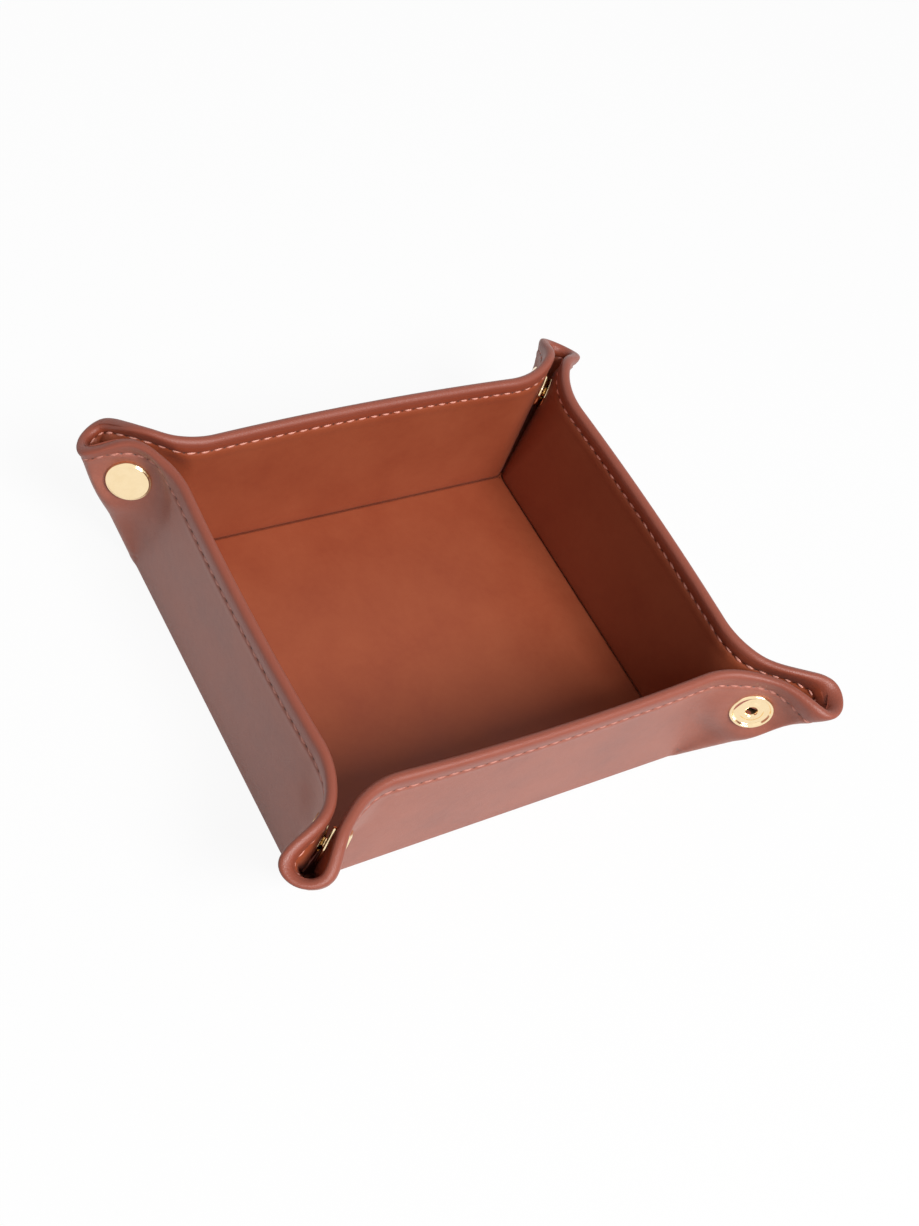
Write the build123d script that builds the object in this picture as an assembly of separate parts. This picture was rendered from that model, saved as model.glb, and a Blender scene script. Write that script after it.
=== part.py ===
from build123d import *
from math import acos, cos, radians, sin, sqrt
import os

# A leather valet tray, snapped up: a flat floor, four upright walls, and a
# pinched corner at each end of each wall, held shut by a press stud.
# The origin is the middle of the underside, +Z is up, and the long side runs
# along X. All sizes are millimetres.

# Overall form
baseLength = 130.0
baseWidth = 110.0
wallHeight = 48.0

# Leather and card
outerThickness = 1.4
liningThickness = 1.4
wallCardThickness = 0.6
baseCardThickness = 1.0
hemThickness = 1.4
cardMargin = 5.0
sheetThickness = outerThickness + liningThickness

# Walls bow outwards at the rim
rimBow = 2.2
rimEndAngle = radians(3.0)

# Pinched corners, at the rim and at the root just above the floor
rimBendRadius = 24.0
rootBendRadius = 2.0
rimHalfGap = 2.8
rootHalfGap = 0.25
rimTipReach = 28.5
rootFlat = 0.4
rootHeight = 4.0
tipRise = 0.75
tipRadius = wallHeight + tipRise

# Gaps that let the leather pieces swing apart
hingeGap = 0.2
bendGap = 0.3
seamGap = 0.3
earFootGap = 0.9
splitTurn = radians(22.5)
diagonalTurn = radians(45.0)

# Press studs, measured along their axis from the middle of the corner
snapReach = 6.0
snapHeight = 33.5
snapClearance = 0.05
snapPress = 0.25
snapFaceGap = 0.3
capRadius = 6.25
capThickness = 1.5
capEdge = 0.35
capStep = 0.3
capStepWidth = 0.8
postRadius = 1.25
postHeadRadius = 1.8
postHeadThickness = 0.15
socketRadius = 5.1
socketPlate = 0.35
socketMouthRadius = 2.3
socketRoll = 0.3
studRadius = 5.0
studPlate = 0.35
ballRadius = 1.9
ballNeckRadius = 1.65
ballHeight = 1.15
ballRound = 0.35
backRadius = 6.25
backThickness = 0.9
backRollWidth = 0.9
backDish = 0.4
barrelRadius = 1.5
barrelBore = 1.15
barrelMouthRadius = 1.7
barrelHeadThickness = 0.25

# Cuts run past what they cut by this much
overrun = 1.0


# The two levels that a wall is ruled between
class Level:
    def __init__(self, height, bend, gap, bow, endAngle):
        self.height = height
        self.bend = bend
        self.gap = gap
        self.bow = bow
        self.endAngle = endAngle
        self.outerOffset = gap + sheetThickness


rimLevel = Level(wallHeight, rimBendRadius, rimHalfGap, rimBow, rimEndAngle)
rootLevel = Level(rootHeight, rootBendRadius, rootHalfGap, 0.0, 0.0)


# A wall in its own plan: along runs from its middle to its corner, out is outwards
def bendCentre(level, halfLength):
    reach = level.bend + level.outerOffset
    if level.endAngle == 0:
        return (halfLength + level.bend - sqrt(2) * reach, level.bend)
    turn = cos(level.endAngle) - sin(level.endAngle)
    rest = halfLength + level.bow + level.bend * turn - sqrt(2) * reach
    radius = rest / (1 - turn)
    total = radius + level.bend
    return (total * sin(level.endAngle), level.bow - radius + total * cos(level.endAngle))


def place(along, out, distance, height):
    return (along, -distance - out, height)


def onBend(level, halfLength, distance, offset, turn):
    centre = bendCentre(level, halfLength)
    radius = level.bend + offset
    return place(centre[0] + radius * sin(turn), centre[1] - radius * cos(turn), distance, level.height)


def onCorner(level, halfLength, distance, reach, side):
    along = halfLength + (reach - side) / sqrt(2)
    out = (reach + side) / sqrt(2)
    return place(along, out, distance, level.height)


def mirrored(point):
    return (-point[0], point[1], point[2])


def bendArc(level, halfLength, distance, offset, first, last):
    turns = (first, (first + last) / 2, last)
    return ThreePointArc(*[onBend(level, halfLength, distance, offset, turn) for turn in turns])


# The plan outline of a whole wall between two depths in the leather
def wallOutline(level, halfLength, distance, shallow, deep):
    def side(offset, first, last):
        return bendArc(level, halfLength, distance, offset, first, last)

    def opposite(edge):
        return ThreePointArc(*[mirrored(tuple(edge @ share)) for share in (1, 0.5, 0)])

    def middle(offset):
        end = onBend(level, halfLength, distance, offset, -level.endAngle)
        if level.endAngle == 0:
            return Line(mirrored(end), end)
        crown = place(0, level.bow - offset, distance, level.height)
        return ThreePointArc(mirrored(end), crown, end)

    front = side(shallow, -level.endAngle, splitTurn)
    back = side(deep, -level.endAngle, splitTurn)
    edges = [middle(shallow), front, Line(front @ 1, back @ 1), back, middle(deep)]
    edges += [opposite(back), Line(mirrored(tuple(back @ 1)), mirrored(tuple(front @ 1))), opposite(front)]
    return Wire(edges)


# Where the pinched corner's end curls round to meet the other half
def curlReach(level):
    if level is rimLevel:
        return rimTipReach - level.outerOffset
    neck = (sqrt(2) - 1) * level.bend - level.outerOffset
    return neck + rootFlat


# The plan outline of half a pinched corner between two depths in the leather
def earOutline(level, halfLength, distance, shallow, deep):
    start = splitTurn + bendGap / level.bend
    centre = curlReach(level)

    def curl(offset):
        radius = level.outerOffset - offset
        swing = acos(seamGap / 2 / radius)
        turns = (0, swing / 2, swing)
        points = [(centre + radius * sin(turn), radius * cos(turn)) for turn in turns]
        return ThreePointArc(*[onCorner(level, halfLength, distance, *point) for point in points])

    def side(offset):
        bend = bendArc(level, halfLength, distance, offset, start, diagonalTurn)
        end = curl(offset)
        return bend, Line(bend @ 1, end @ 0), end

    front = side(shallow)
    back = side(deep)
    edges = [*front, Line(front[2] @ 1, back[2] @ 1), *back, Line(back[0] @ 0, front[0] @ 0)]
    return Wire(edges)


def ruled(outline, *sizes):
    return Solid.make_loft([outline(level, *sizes) for level in (rootLevel, rimLevel)], ruled=True)


def below(height):
    reach = baseLength + baseWidth
    return Pos(0, 0, height - reach / 2) * Box(2 * reach, 2 * reach, reach)


# The ear's free edge is round about the corner of the floor
def roundAbout(radius, halfLength, distance):
    return Pos(*place(halfLength, 0, distance, 0)) * Sphere(radius)


# The foot of a wall: a straight strip, mitred along the floor and at both corners
def wallFoot(halfLength, distance, shallow, deep):
    strip = [(-distance + shallow, shallow), (-distance + deep, deep)]
    strip += [(-distance + deep, rootHeight), (-distance + shallow, rootHeight)]
    face = Plane.YZ * make_face(Polyline(*strip, close=True))
    foot = extrude(face, amount=halfLength, both=True)
    shoulder = halfLength - seamGap / sqrt(2)
    wedge = [(-shoulder, -distance), (shoulder, -distance), (0, shoulder - distance)]
    return foot & extrude(make_face(Polyline(*wedge, close=True)), amount=rootHeight)


def wallLayer(halfLength, distance, shallow, deep):
    return ruled(wallOutline, halfLength, distance, shallow, deep) + wallFoot(halfLength, distance, shallow, deep)


def wallPieces(halfLength, distance):
    core = wallLayer(halfLength, distance, outerThickness, sheetThickness) & below(wallHeight - hemThickness)
    whole = wallLayer(halfLength, distance, 0, sheetThickness)
    outer = whole - core
    cardSpan = 2 * (halfLength - rimBendRadius - cardMargin)
    cardHeight = wallHeight - hemThickness - 2 * cardMargin
    window = Pos(0, -distance, cardMargin + cardHeight / 2) * Box(cardSpan, 4 * cardMargin, cardHeight)
    card = wallLayer(halfLength, distance, outerThickness, outerThickness + wallCardThickness) & window
    return {"outer_leather": outer, "stiffener": card, "lining": core - card}


# The frame of a press stud: x is along the stud, away from the middle of the corner
def snapPlane(halfLength, distance):
    centre = place(halfLength + snapReach / sqrt(2), snapReach / sqrt(2), distance, snapHeight)
    outwards = Vector(-1, -1, 0).normalized()
    return Plane(origin=centre, x_dir=(0, 0, 1), z_dir=outwards)


def turned(profile):
    return revolve(Plane.XZ * make_face(Polyline(*profile, close=True)), Axis.Z)


# How far the lining and the outer face stand from the middle, at the stud
def gapAt(height):
    share = (height - rootHeight) / (wallHeight - rootHeight)
    return rootHalfGap + (rimHalfGap - rootHalfGap) * share


liningFace = gapAt(snapHeight)
outerFace = liningFace + sheetThickness
seat = outerFace - snapPress
inset = liningFace + snapPress
mate = snapFaceGap / 2


def snapCap():
    top = seat + capThickness
    riser = top - capStep
    head = inset - socketPlate - postHeadThickness
    outline = [(0, top), (capRadius - capStepWidth, top), (capRadius - capStepWidth + capEdge, riser)]
    outline += [(capRadius, riser - capEdge), (capRadius, seat), (postRadius, seat)]
    outline += [(postRadius, inset - socketPlate), (postHeadRadius, inset - socketPlate)]
    outline += [(postHeadRadius, head), (0, head)]
    return turned(outline)


def snapSocket():
    outline = [(postRadius, inset), (socketRadius - socketRoll, inset), (socketRadius, inset - socketRoll)]
    outline += [(socketRadius, mate + socketRoll), (socketRadius - socketRoll, mate)]
    outline += [(socketMouthRadius, mate), (socketMouthRadius, inset - socketPlate)]
    outline += [(postRadius, inset - socketPlate)]
    return turned(outline)


def snapStud():
    tip = mate - ballHeight
    plate = inset - studPlate
    outline = [(barrelRadius, inset), (studRadius, inset), (studRadius, plate)]
    outline += [(ballNeckRadius + studPlate, mate), (ballNeckRadius, mate)]
    outline += [(ballRadius, tip + 2 * ballRound), (ballRadius, tip + ballRound), (ballRadius - ballRound, tip)]
    outline += [(0, tip), (0, tip + studPlate), (barrelRadius - ballRound, tip + studPlate)]
    outline += [(barrelRadius - ballRound, plate - barrelHeadThickness)]
    outline += [(barrelRadius, plate - barrelHeadThickness)]
    return turned(outline)


def snapBack():
    top = seat + backThickness
    ring = top - backDish
    outline = [(barrelBore, inset - studPlate), (barrelRadius, inset - studPlate), (barrelRadius, seat)]
    outline += [(backRadius, seat), (backRadius, top - capEdge), (backRadius - capEdge, top)]
    outline += [(backRadius - backRollWidth, top), (backRadius - backRollWidth - capEdge, ring)]
    outline += [(barrelMouthRadius + capStepWidth, ring), (barrelMouthRadius, seat + capStep)]
    outline += [(barrelBore, seat)]
    return turned(outline)


# What the studs press out of the leather
def snapPocket(shank, inner):
    shaft = Cylinder(shank + snapClearance, 2 * outerFace + 2 * overrun)
    over = Pos(0, 0, seat + sheetThickness) * Cylinder(capRadius + snapClearance, 2 * sheetThickness)
    under = Pos(0, 0, inset / 2) * Cylinder(inner + snapClearance, inset)
    return shaft + over + under


def earPieces(halfLength, distance, shank, inner):
    rim = roundAbout(tipRadius, halfLength, distance)
    under = roundAbout(tipRadius - hemThickness, halfLength, distance) & below(wallHeight - hemThickness)
    pocket = snapPlane(halfLength, distance).location * snapPocket(shank, inner)
    cut = pocket + below(rootHeight + earFootGap)
    whole = ruled(earOutline, halfLength, distance, 0, sheetThickness) & rim
    core = ruled(earOutline, halfLength, distance, outerThickness, sheetThickness) & under
    return {"outer_leather": whole - core - cut, "lining": core - cut}


# The floor: outer leather, card and lining, mitred to the walls
def floorLayer(low, high):
    def outline(height):
        inset = 2 * (height + hingeGap)
        return Plane.XY.offset(height) * Rectangle(baseLength - inset, baseWidth - inset)

    return loft([outline(low), outline(high)], ruled=True)


def floorPieces():
    lining = floorLayer(outerThickness, sheetThickness)
    span = (baseLength - 2 * cardMargin, baseWidth - 2 * cardMargin)
    card = Pos(0, 0, outerThickness + baseCardThickness / 2) * Box(*span, baseCardThickness)
    return {"outer_leather": floorLayer(0, outerThickness), "board": card, "lining": lining - card}


def write(name, solid):
    pieces = solid.solids()
    shape = pieces[0] if len(pieces) == 1 else Compound(children=pieces)
    shape.label = name
    export_step(shape, os.path.join("parts", name + ".step"))


def turnedAbout(shape, quarter):
    return shape.rotate(Axis.Z, quarter * 90)


walls = ("front", "right", "back", "left")


def build():
    os.makedirs("parts", exist_ok=True)
    for kind, solid in floorPieces().items():
        write("base_" + kind, solid)
    for quarter, wall in enumerate(walls):
        sizes = (baseLength / 2, baseWidth / 2) if quarter % 2 == 0 else (baseWidth / 2, baseLength / 2)
        for kind, solid in wallPieces(*sizes).items():
            write(wall + "_wall_" + kind, turnedAbout(solid, quarter))
        after = walls[(quarter + 1) % 4]
        before = walls[quarter - 1]
        posted = earPieces(*sizes, barrelRadius, studRadius)
        for kind, solid in posted.items():
            write(wall + "_ear_by_" + after + "_" + kind, turnedAbout(solid, quarter))
        capped = earPieces(*sizes, postRadius, socketRadius)
        for kind, solid in capped.items():
            write(wall + "_ear_by_" + before + "_" + kind, turnedAbout(solid.mirror(Plane.YZ), quarter))
        frame = snapPlane(*sizes).location
        for kind, solid in (("stud", snapStud()), ("post_back", snapBack())):
            write(wall + "_snap_" + kind, turnedAbout(frame * solid, quarter))
        for kind, solid in (("socket", snapSocket()), ("cap", snapCap())):
            write(wall + "_snap_" + kind, turnedAbout((frame * solid).mirror(Plane.YZ), quarter))


build()
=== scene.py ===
import bpy
from math import cos, exp, hypot, pi, radians, sin, sqrt
from mathutils import Matrix, Vector


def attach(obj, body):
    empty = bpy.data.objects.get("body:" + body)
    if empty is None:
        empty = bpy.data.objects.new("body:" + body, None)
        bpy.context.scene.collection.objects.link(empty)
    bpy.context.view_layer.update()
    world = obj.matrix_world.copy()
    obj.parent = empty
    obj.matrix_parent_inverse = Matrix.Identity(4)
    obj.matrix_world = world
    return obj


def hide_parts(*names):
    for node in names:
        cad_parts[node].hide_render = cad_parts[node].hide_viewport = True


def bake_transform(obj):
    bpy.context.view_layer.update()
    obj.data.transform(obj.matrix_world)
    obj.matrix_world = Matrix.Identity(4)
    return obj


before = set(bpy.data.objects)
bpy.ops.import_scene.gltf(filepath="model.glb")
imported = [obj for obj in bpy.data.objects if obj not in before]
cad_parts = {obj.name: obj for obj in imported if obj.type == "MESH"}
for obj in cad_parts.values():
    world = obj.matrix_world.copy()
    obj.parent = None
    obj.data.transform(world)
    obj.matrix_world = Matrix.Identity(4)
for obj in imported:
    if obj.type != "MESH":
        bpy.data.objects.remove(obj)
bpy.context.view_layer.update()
bpy.ops.object.select_all(action="DESELECT")
print("frame loaded:", len(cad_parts), "nodes")

mm = 0.001
walls = ("front", "right", "back", "left")

# The snapped-up form, the same sizes as the solid pieces have
tray = {
    "length": 130 * mm,
    "width": 110 * mm,
    "thickness": 2.8 * mm,       # outer leather and lining together
    "tipRadius": 48.75 * mm,     # the ears are cut round about the floor's corner
    "rimTipReach": 28.5 * mm,    # how far the ears' ends stand beyond that corner
    "rootFlat": 0.4 * mm,        # the straight stretch of an ear just above the floor
    "footRadius": 1.5 * mm,      # the floor's outer corners, seen from above
    "splitTurn": radians(22.5),  # where a wall's leather ends and its ears' begins
}

# The leather's plan at the rim and just above the floor. Gap and loop are half the room inside an ear,
# at its neck and at its end, and the solid pieces have 2.8 mm for both at the rim. endAngle is the
# wall's turn where the bend starts
rim = {
    "height": 48 * mm,
    "bend": 24 * mm,
    "gap": 1.4 * mm,
    "loop": 4.0 * mm,
    "bow": 2.2 * mm,
    "endAngle": radians(3),
}
root = {"height": 4 * mm, "bend": 2 * mm, "gap": 0.25 * mm, "loop": 0.25 * mm, "bow": 0.0, "endAngle": 0.0}

# Where the press studs sit, and how the leather is held flat between their discs
snap = {
    "reach": 6.0 * mm,    # beyond the floor's corner
    "height": 33.5 * mm,
    "hold": 6.6 * mm,     # the leather is flat this far round the stud
    "release": 0.35,      # and opens at this slope beyond
    "hole": 1.9 * mm,
    "bore": 1.5 * mm,
    "steps": 72,
    "weld": 0.005 * mm,
    "bevel": 0.12 * mm,
}

# How each corner hangs, named after the wall before it: its end by stretch, drop, sway and spread,
# and the leather round its stud by a turn, seen from above, and a tilt, in degrees. Stretch and drop
# go along the seam of the two halves, so that these stay clear of each other when the tray lies flat
ears = {
    "front": {
        "stretch": 3.4 * mm, "drop": -5.0 * mm, "sway": 0.0, "spread": 1.4 * mm,
        "turn": 12, "tilt": 10,
    },
    "right": {
        "stretch": -2.0 * mm, "drop": 2.7 * mm, "sway": 0.0, "spread": 0.6 * mm,
        "turn": 0, "tilt": 0,
    },
    "back": {
        "stretch": -3.2 * mm, "drop": 4.2 * mm, "sway": 0.0, "spread": 1.6 * mm,
        "turn": 12, "tilt": -10,
    },
    "left": {
        "stretch": 0.0, "drop": 0.0, "sway": 3.5 * mm, "spread": 0.6 * mm,
        "turn": -6, "tilt": 0,
    },
}
hang = {
    "stud": 7 * mm,       # the leather this near a stud goes with the stud
    "studRun": 16 * mm,   # the hang sets in over this length beyond
    "turnRun": 9 * mm,    # and the stud's turn and tilt die out over this one
    "start": 3 * mm,      # along the ear, the hang sets in from here
    "run": 15 * mm,
    "curl": 8 * mm,       # the spread sets in over this width, from the seam
}

# The rounded edge, and the row of stitches below it
edge = {
    "round": 1.5 * mm,
    "seam": 2.1 * mm,        # where the rolled rim meets the lining
    "puff": 0.16 * mm,
    "puffPlace": 2.4 * mm,
    "puffWidth": 1.4 * mm,
    "line": 4.5 * mm,        # inside, and a little lower outside, where the rim rolls over
    "outerLine": 5.5 * mm,
    "groove": 0.34 * mm,
    "grooveWidth": 0.42 * mm,
    "swell": 0.10 * mm,
    "swellPlace": 6.4 * mm,
    "swellWidth": 1.2 * mm,
    "pucker": 0.10 * mm,
    "puckerWidth": 1.3 * mm,
    "bandEnd": 9.2 * mm,     # the fine rows end here
    "pitch": 3.8 * mm,
    "tuck": 0.5 * mm,        # at the seam both leathers turn in this deep
    "tuckRun": 0.1 * mm,
    "seamGap": 0.02 * mm,
}

# The crease along the floor, and the lining's profile in it: depth from the wall's outer face and height,
# in mm
crease = {
    "outerRadius": 1.2 * mm,
    "underside": 2.0 * mm,   # how far the walls' leather reaches under the floor
    "middle": 2 * mm,        # depth and height of the line that the leather folds along
    "lap": 0.5 * mm,
    "liningTop": 3.5 * mm,
    "profile": (
        (2.8, 3.5), (2.76, 3.15), (2.6, 2.95), (2.3, 2.5), (2.1, 2.1),
        (2.5, 2.3), (2.95, 2.6), (3.15, 2.76), (3.5, 2.8),
    ),
}
farBelow = 30 * mm           # stands for a distance at which no line along the rim shows

# How finely the leather is divided
mesh = {
    "column": 0.62 * mm,
    "fewestColumns": 4,
    "bandRow": 0.36 * mm,
    "creaseRows": 6,
    "outerFaceRows": 16,
    "innerFaceRows": 14,
    "rimRows": 10,
    "seamRows": 3,
    "heelRows": 4,
    "smoothAngle": radians(50),
}


def mix(a, b, share):
    return a + (b - a) * share


def smooth(share):
    share = min(max(share, 0), 1)
    return share * share * (3 - 2 * share)


def halfSizes(quarter):
    long, wide = tray["length"] / 2, tray["width"] / 2
    return (long, wide) if quarter % 2 == 0 else (wide, long)


# A wall's own plan: along runs from its middle, out is outwards, and each point has its normal
def bendCentre(level, halfLength):
    reach = level["bend"] + level["gap"] + tray["thickness"]
    if level["endAngle"] == 0:
        return halfLength + level["bend"] - sqrt(2) * reach, level["bend"], 0.0
    turn = cos(level["endAngle"]) - sin(level["endAngle"])
    radius = (halfLength + level["bow"] + level["bend"] * turn - sqrt(2) * reach) / (1 - turn)
    total = radius + level["bend"]
    return total * sin(level["endAngle"]), level["bow"] - radius + total * cos(level["endAngle"]), radius


def onDiagonal(halfLength, reach, side):
    return halfLength + (reach - side) / sqrt(2), (reach + side) / sqrt(2)


def curlReach(level):
    if level is rim:
        return tray["rimTipReach"] - level["loop"] - tray["thickness"]
    return (sqrt(2) - 1) * level["bend"] - level["gap"] - tray["thickness"] + tray["rootFlat"]


def outline(level, halfLength, part, share):
    centre = bendCentre(level, halfLength)
    offset = level["loop"] + tray["thickness"]
    if part == "middle" and level["endAngle"] == 0:
        return share * centre[0], 0.0, 0.0, 1.0
    if part == "middle":
        turn = share * level["endAngle"]
        return centre[2] * sin(turn), level["bow"] - centre[2] * (1 - cos(turn)), sin(turn), cos(turn)
    if part in ("bend", "neck"):
        ends = {"bend": (-level["endAngle"], tray["splitTurn"]), "neck": (tray["splitTurn"], radians(45))}
        turn = mix(*ends[part], share)
        normal = (-sin(turn), cos(turn))
        return centre[0] - level["bend"] * normal[0], centre[1] - level["bend"] * normal[1], *normal
    if part == "side":
        first = (centre[0] - halfLength + centre[1]) / sqrt(2)
        run = curlReach(level) - first
        widening = (level["loop"] - level["gap"]) * smooth(share)
        slope = (level["loop"] - level["gap"]) * 6 * share * (1 - share) / run
        size = sqrt(1 + slope * slope)
        place = onDiagonal(halfLength, first + share * run, level["gap"] + tray["thickness"] + widening)
        return *place, *onDiagonal(0, -slope / size, 1 / size)
    turn = share * pi / 2
    normal = onDiagonal(0, sin(turn), cos(turn))
    return *onDiagonal(halfLength, curlReach(level) + offset * sin(turn), offset * cos(turn)), *normal


# The floor's own outline under the same point, with a mitred corner
def footPoint(halfLength, part, share, depth):
    corner = max(tray["footRadius"], depth)
    if part != "curl":
        along = min(outline(root, halfLength, part, share)[0], halfLength - corner)
        return along, -depth
    first = min(outline(root, halfLength, "side", 1)[0], halfLength - corner)
    if share < 0.5:
        return mix(first, halfLength - corner, 2 * share), -depth
    turn = (2 * share - 1) * pi / 4
    radius = corner - depth
    return halfLength - corner + radius * sin(turn), -corner + radius * cos(turn)


# How far the lining's face and the outer face stand from the middle of an ear, at the studs' height
snapShare = (snap["height"] - root["height"]) / (rim["height"] - root["height"])
liningFace = mix(root["gap"], rim["gap"], snapShare)
studFace = liningFace + tray["thickness"]


# One ruling of the leather, from the floor to the rim
class Ruling:
    def __init__(self, halfLength, part, share):
        self.halfLength, self.part, self.share = halfLength, part, share
        self.low = outline(root, halfLength, part, share)
        self.high = outline(rim, halfLength, part, share)
        self.top = self.topHeight()
        start, end = self.at(tray["thickness"] / 2, 0.9 * self.top), self.at(tray["thickness"] / 2, self.top)
        self.lean = (end - start).length / (end.z - start.z)

    def at(self, depth, height):
        point = self.free(depth, height)
        if self.part not in ("side", "curl"):
            return point
        face = self.free(0, height)
        reach = (face.x - self.halfLength + face.y) / sqrt(2)
        side = (face.y - face.x + self.halfLength) / sqrt(2)
        apart = hypot(reach - snap["reach"], height - snap["height"])
        held = studFace + snap["release"] * max(apart - snap["hold"], 0)
        shift = max(side - held, 0) / sqrt(2)
        return point + Vector((shift, -shift, 0))

    # The same before the studs press it flat
    def free(self, depth, height):
        low = (self.low[0] - depth * self.low[2], self.low[1] - depth * self.low[3])
        high = (self.high[0] - depth * self.high[2], self.high[1] - depth * self.high[3])
        share = (height - root["height"]) / (rim["height"] - root["height"])
        if share < 0:
            foot = footPoint(self.halfLength, self.part, self.share, depth)
            share = height / root["height"]
            return Vector((mix(foot[0], low[0], share), mix(foot[1], low[1], share), height))
        return Vector((mix(low[0], high[0], share), mix(low[1], high[1], share), height))

    # The rim is level along the wall and falls round about the corner at the ear
    def topHeight(self):
        low, high = 0.5 * rim["height"], 2 * rim["height"]
        for _ in range(30):
            middle = (low + high) / 2
            point = self.at(tray["thickness"] / 2, middle)
            reach = max(point.x - self.halfLength + point.y, 0) / sqrt(2)
            inside = reach ** 2 + middle ** 2 < tray["tipRadius"] ** 2
            low, high = (middle, high) if inside else (low, middle)
        softness = tray["tipRadius"] - rim["height"]
        soft = max(softness - abs(low - rim["height"]), 0) / softness
        return min(low, rim["height"]) - soft * soft * softness / 4

    # A point at a depth in the leather and a distance below the rim
    def below(self, depth, distance):
        return self.at(depth, self.top - distance / self.lean)


def bump(distance, place, width):
    return exp(-((distance - place) / width) ** 2)


# How far the leather's faces stand proud near the edge
def relief(distance, stitch, line):
    height = edge["puff"] * bump(distance, edge["puffPlace"], edge["puffWidth"])
    height += edge["swell"] * bump(distance, edge["swellPlace"], edge["swellWidth"])
    height -= edge["groove"] * bump(distance, line, edge["grooveWidth"])
    hole = 0.5 + 0.5 * cos(2 * pi * stitch)
    return height - edge["pucker"] * hole * bump(distance, line, edge["puckerWidth"])


# The rulings of half a wall, with the length run along the stitch line up to each
def halfRulings(halfLength):
    stations, length, last = [], 0.0, None
    for part in ("middle", "bend", "neck", "side", "curl"):
        ends = [Ruling(halfLength, part, share).below(0, edge["line"]) for share in (0, 0.5, 1)]
        span = (ends[1] - ends[0]).length + (ends[2] - ends[1]).length
        count = max(mesh["fewestColumns"], round(span / mesh["column"]))
        for index in range(count + 1):
            ruling = Ruling(halfLength, part, index / count)
            here = ruling.below(tray["thickness"] / 2, edge["line"])
            length += (here - last).length if last else 0
            last = here
            ruling.run = length
            if index > 0 or not stations:
                stations.append(ruling)
    count = round(length / edge["pitch"])
    for ruling in stations:
        ruling.stitch = ruling.run / length * count
    return stations, count


rulingsOf = {half: halfRulings(half) for half in (tray["length"] / 2, tray["width"] / 2)}


def cornerOf(quarter, sign):
    return ears[walls[quarter if sign > 0 else quarter - 1]]


# The leather of an ear leaves the plain form as its corner hangs
def hanging(quarter, sign, point):
    corner = cornerOf(quarter, sign)
    halfLength = halfSizes(quarter)[0]
    reach = (point.x - halfLength + point.y) / sqrt(2)
    side = (point.y - point.x + halfLength) / sqrt(2)
    ahead, above = reach - snap["reach"], point.z - snap["height"]
    apart = hypot(ahead, above)
    share = smooth((apart - hang["stud"]) / hang["studRun"]) * smooth((reach - hang["start"]) / hang["run"])
    spread = corner["spread"] * smooth(side / hang["curl"])
    along, out = onDiagonal(0, corner["stretch"], sign * corner["sway"] + spread)
    held = 1 - smooth((apart - hang["stud"]) / hang["turnRun"])
    turn, tilt = -sign * radians(corner["turn"]) * held, sign * radians(corner["tilt"]) * held
    turned = onDiagonal(0, -side * turn, ahead * turn - above * tilt)
    return point + Vector((along, out, -corner["drop"])) * share + Vector((*turned, side * tilt))


# From a wall's own plan to the tray: the four walls follow each other by quarter turns
def placeIn(quarter, sign, point):
    point = hanging(quarter, sign, point)
    turn = Matrix.Rotation(quarter * pi / 2, 4, "Z")
    return turn @ Vector((sign * point.x, -halfSizes(quarter)[1] - point.y, point.z))


# Rows of the outer leather, from under the floor up, over the rim and down to the stitches
def outerRows():
    rows = [("foot", crease["underside"], 0.0)]
    radius = crease["outerRadius"]
    for step in range(mesh["creaseRows"] + 1):
        turn = step / mesh["creaseRows"] * pi / 2
        rows.append(("foot", radius * (1 - sin(turn)), radius * (1 - cos(turn))))
    count = mesh["outerFaceRows"]
    rows += [("face", radius, step / count) for step in range(1, count)]
    count = round((edge["bandEnd"] - edge["round"]) / mesh["bandRow"])
    rows += [("band", 0.0, mix(edge["bandEnd"], edge["round"], step / count)) for step in range(count + 1)]
    for step in range(1, mesh["rimRows"]):
        rows.append(("rim", step / mesh["rimRows"] * pi, 0.0))
    count = mesh["seamRows"]
    rows += [("inner", 0.0, mix(edge["round"], edge["seam"], step / count)) for step in range(count + 1)]
    rows.append(("tuck", edge["tuck"], edge["seam"] + edge["tuckRun"]))
    return rows


# Rows of the lining, from the rolled rim down into the crease along the floor
def liningRows():
    count = round((edge["bandEnd"] - edge["seam"]) / mesh["bandRow"])
    rows = [("tuck", edge["tuck"], edge["seam"] - edge["tuckRun"])]
    rows.append(("inner", 0.0, edge["seam"] + edge["seamGap"]))
    rows += [("inner", 0.0, mix(edge["seam"], edge["bandEnd"], step / count)) for step in range(1, count + 1)]
    count = mesh["innerFaceRows"]
    rows += [("innerFace", crease["liningTop"], 1 - step / count) for step in range(1, count)]
    rows += [("foot", depth * mm, height * mm) for depth, height in crease["profile"]]
    return rows


# A row's point on a ruling, and its distance below the rim
def rowPoint(ruling, row):
    kind, first, second = row
    thickness = tray["thickness"]
    bandFoot = ruling.top - edge["bandEnd"] / ruling.lean
    line = edge["outerLine"] if kind in ("face", "band", "rim") else edge["line"]
    if kind == "foot":
        return ruling.at(first, second), farBelow
    if kind in ("face", "innerFace"):
        height = mix(first, bandFoot, second)
        distance = (ruling.top - height) * ruling.lean
        proud = relief(distance, ruling.stitch, line)
        return ruling.at(-proud if kind == "face" else thickness + proud, height), distance
    if kind == "band":
        return ruling.below(-relief(second, ruling.stitch, line), second), second
    if kind == "rim":
        proud = relief(edge["round"], ruling.stitch, line)
        depth = thickness / 2 - (thickness / 2 + proud) * cos(first)
        return ruling.below(depth, edge["round"] * (1 - sin(first))), edge["round"] * (1 - sin(first))
    if kind == "inner":
        return ruling.below(thickness + relief(second, ruling.stitch, line), second), second
    return ruling.below(thickness + relief(edge["seam"], ruling.stitch, line) - first, second), second


def onlySelect(*pieces):
    bpy.ops.object.select_all(action="DESELECT")
    for piece in pieces:
        piece.select_set(True)
    bpy.context.view_layer.objects.active = pieces[0]


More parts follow.
